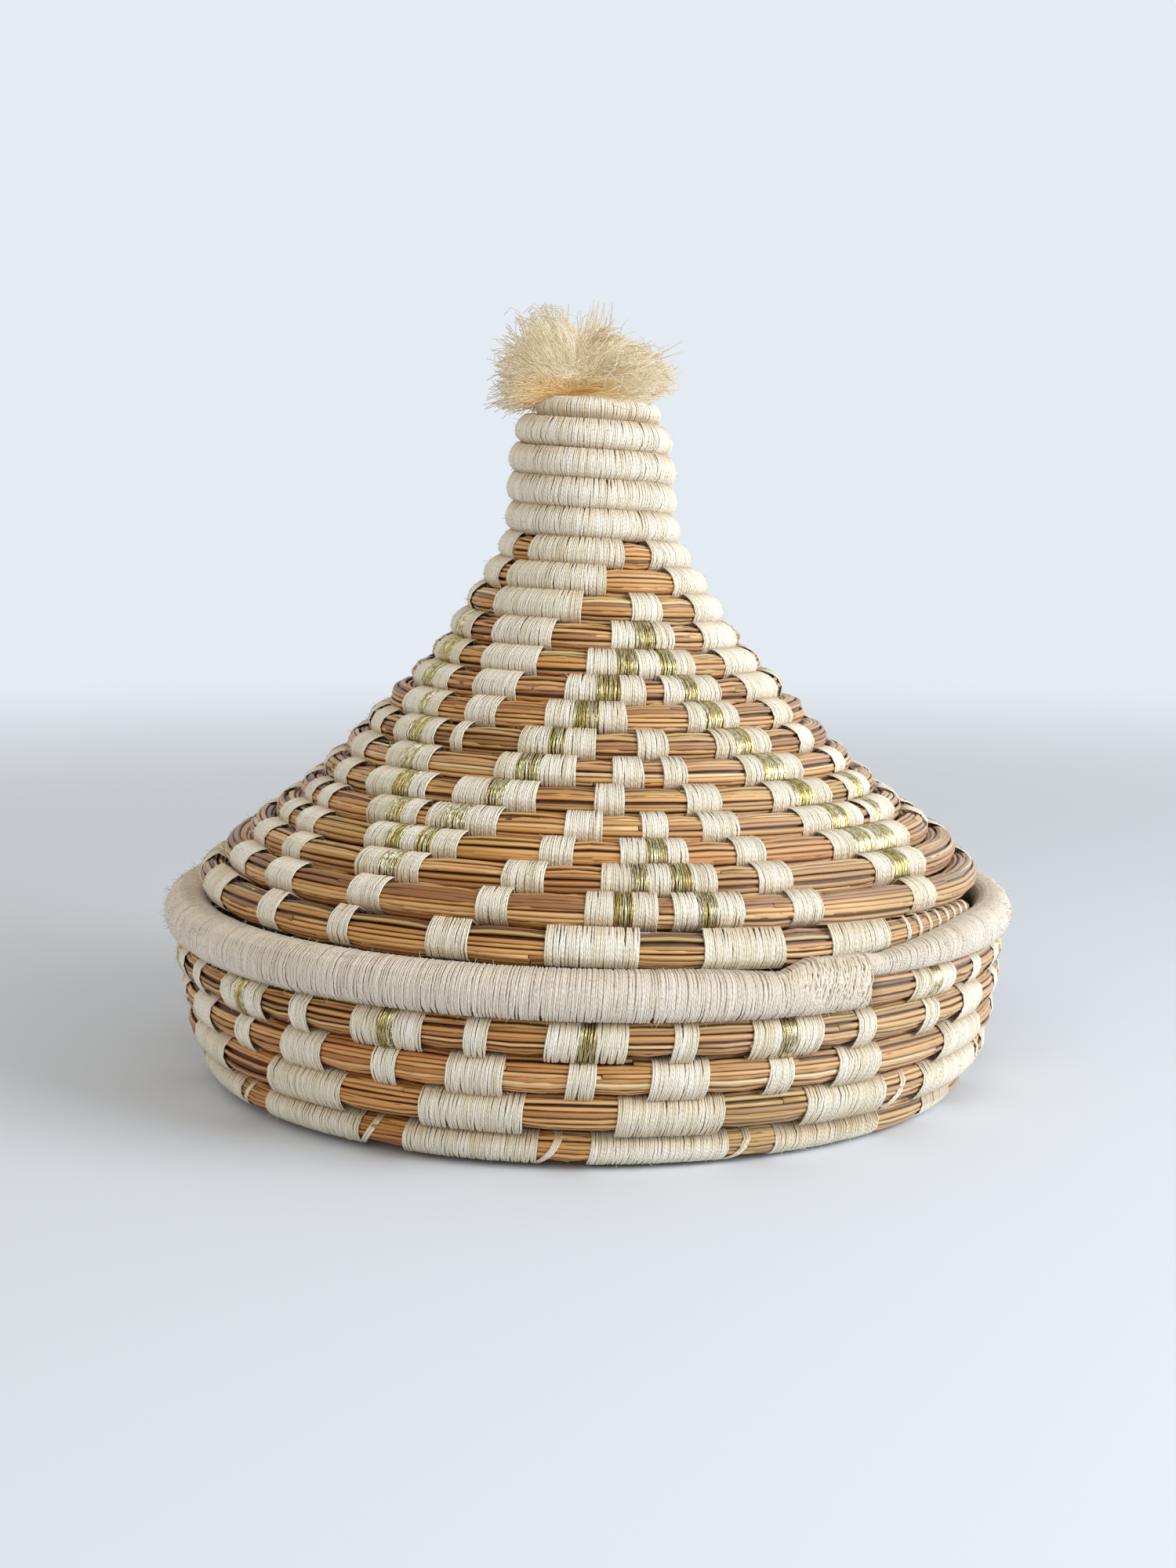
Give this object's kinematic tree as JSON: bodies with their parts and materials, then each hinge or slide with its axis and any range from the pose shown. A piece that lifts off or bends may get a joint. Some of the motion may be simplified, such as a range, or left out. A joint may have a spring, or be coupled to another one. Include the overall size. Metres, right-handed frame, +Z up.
{
  "type": "tagine basket",
  "caption": "Coiled reed bread basket with a tall pointed lid, sewn in cream and gold yarn, with a wrapped rim and a wool tassel on top.",
  "frame": {"origin": "centre of the basket's flat floor, at the level that it stands on", "axes": "+Z up along the basket's axis to the tassel, -Y towards the front of the picture, +X to the right"},
  "size_m": [0.348, 0.3492, 0.3162],
  "materials": {
    "reed": "glossy natural straw stems",
    "cream_wool": "fuzzy cream wool yarn",
    "tassel_wool": "loose cream yellow wool strands"
  },
  "bodies": {
    "base": {"bowl_coil": "reed", "bowl_start_knot": "cream_wool", "rim_roll": "cream_wool"},
    "lid": {"lid_coil": "reed", "lid_start_knot": "cream_wool", "tassel_core": "tassel_wool", "tassel_binding": "tassel_wool", "tassel_lock_1": "tassel_wool", "tassel_lock_2": "tassel_wool", "tassel_lock_3": "tassel_wool", "tassel_lock_4": "tassel_wool", "tassel_lock_5": "tassel_wool", "tassel_lock_6": "tassel_wool", "tassel_lock_7": "tassel_wool", "tassel_lock_8": "tassel_wool", "tassel_crest_1": "tassel_wool", "tassel_crest_2": "tassel_wool", "tassel_crest_3": "tassel_wool"}
  },
  "joints": [
    {"name": "lid_lift", "type": "slide", "parent": "base", "child": "lid", "axis": [0, 0, 1], "range_m": [0, 0.2]}
  ]
}
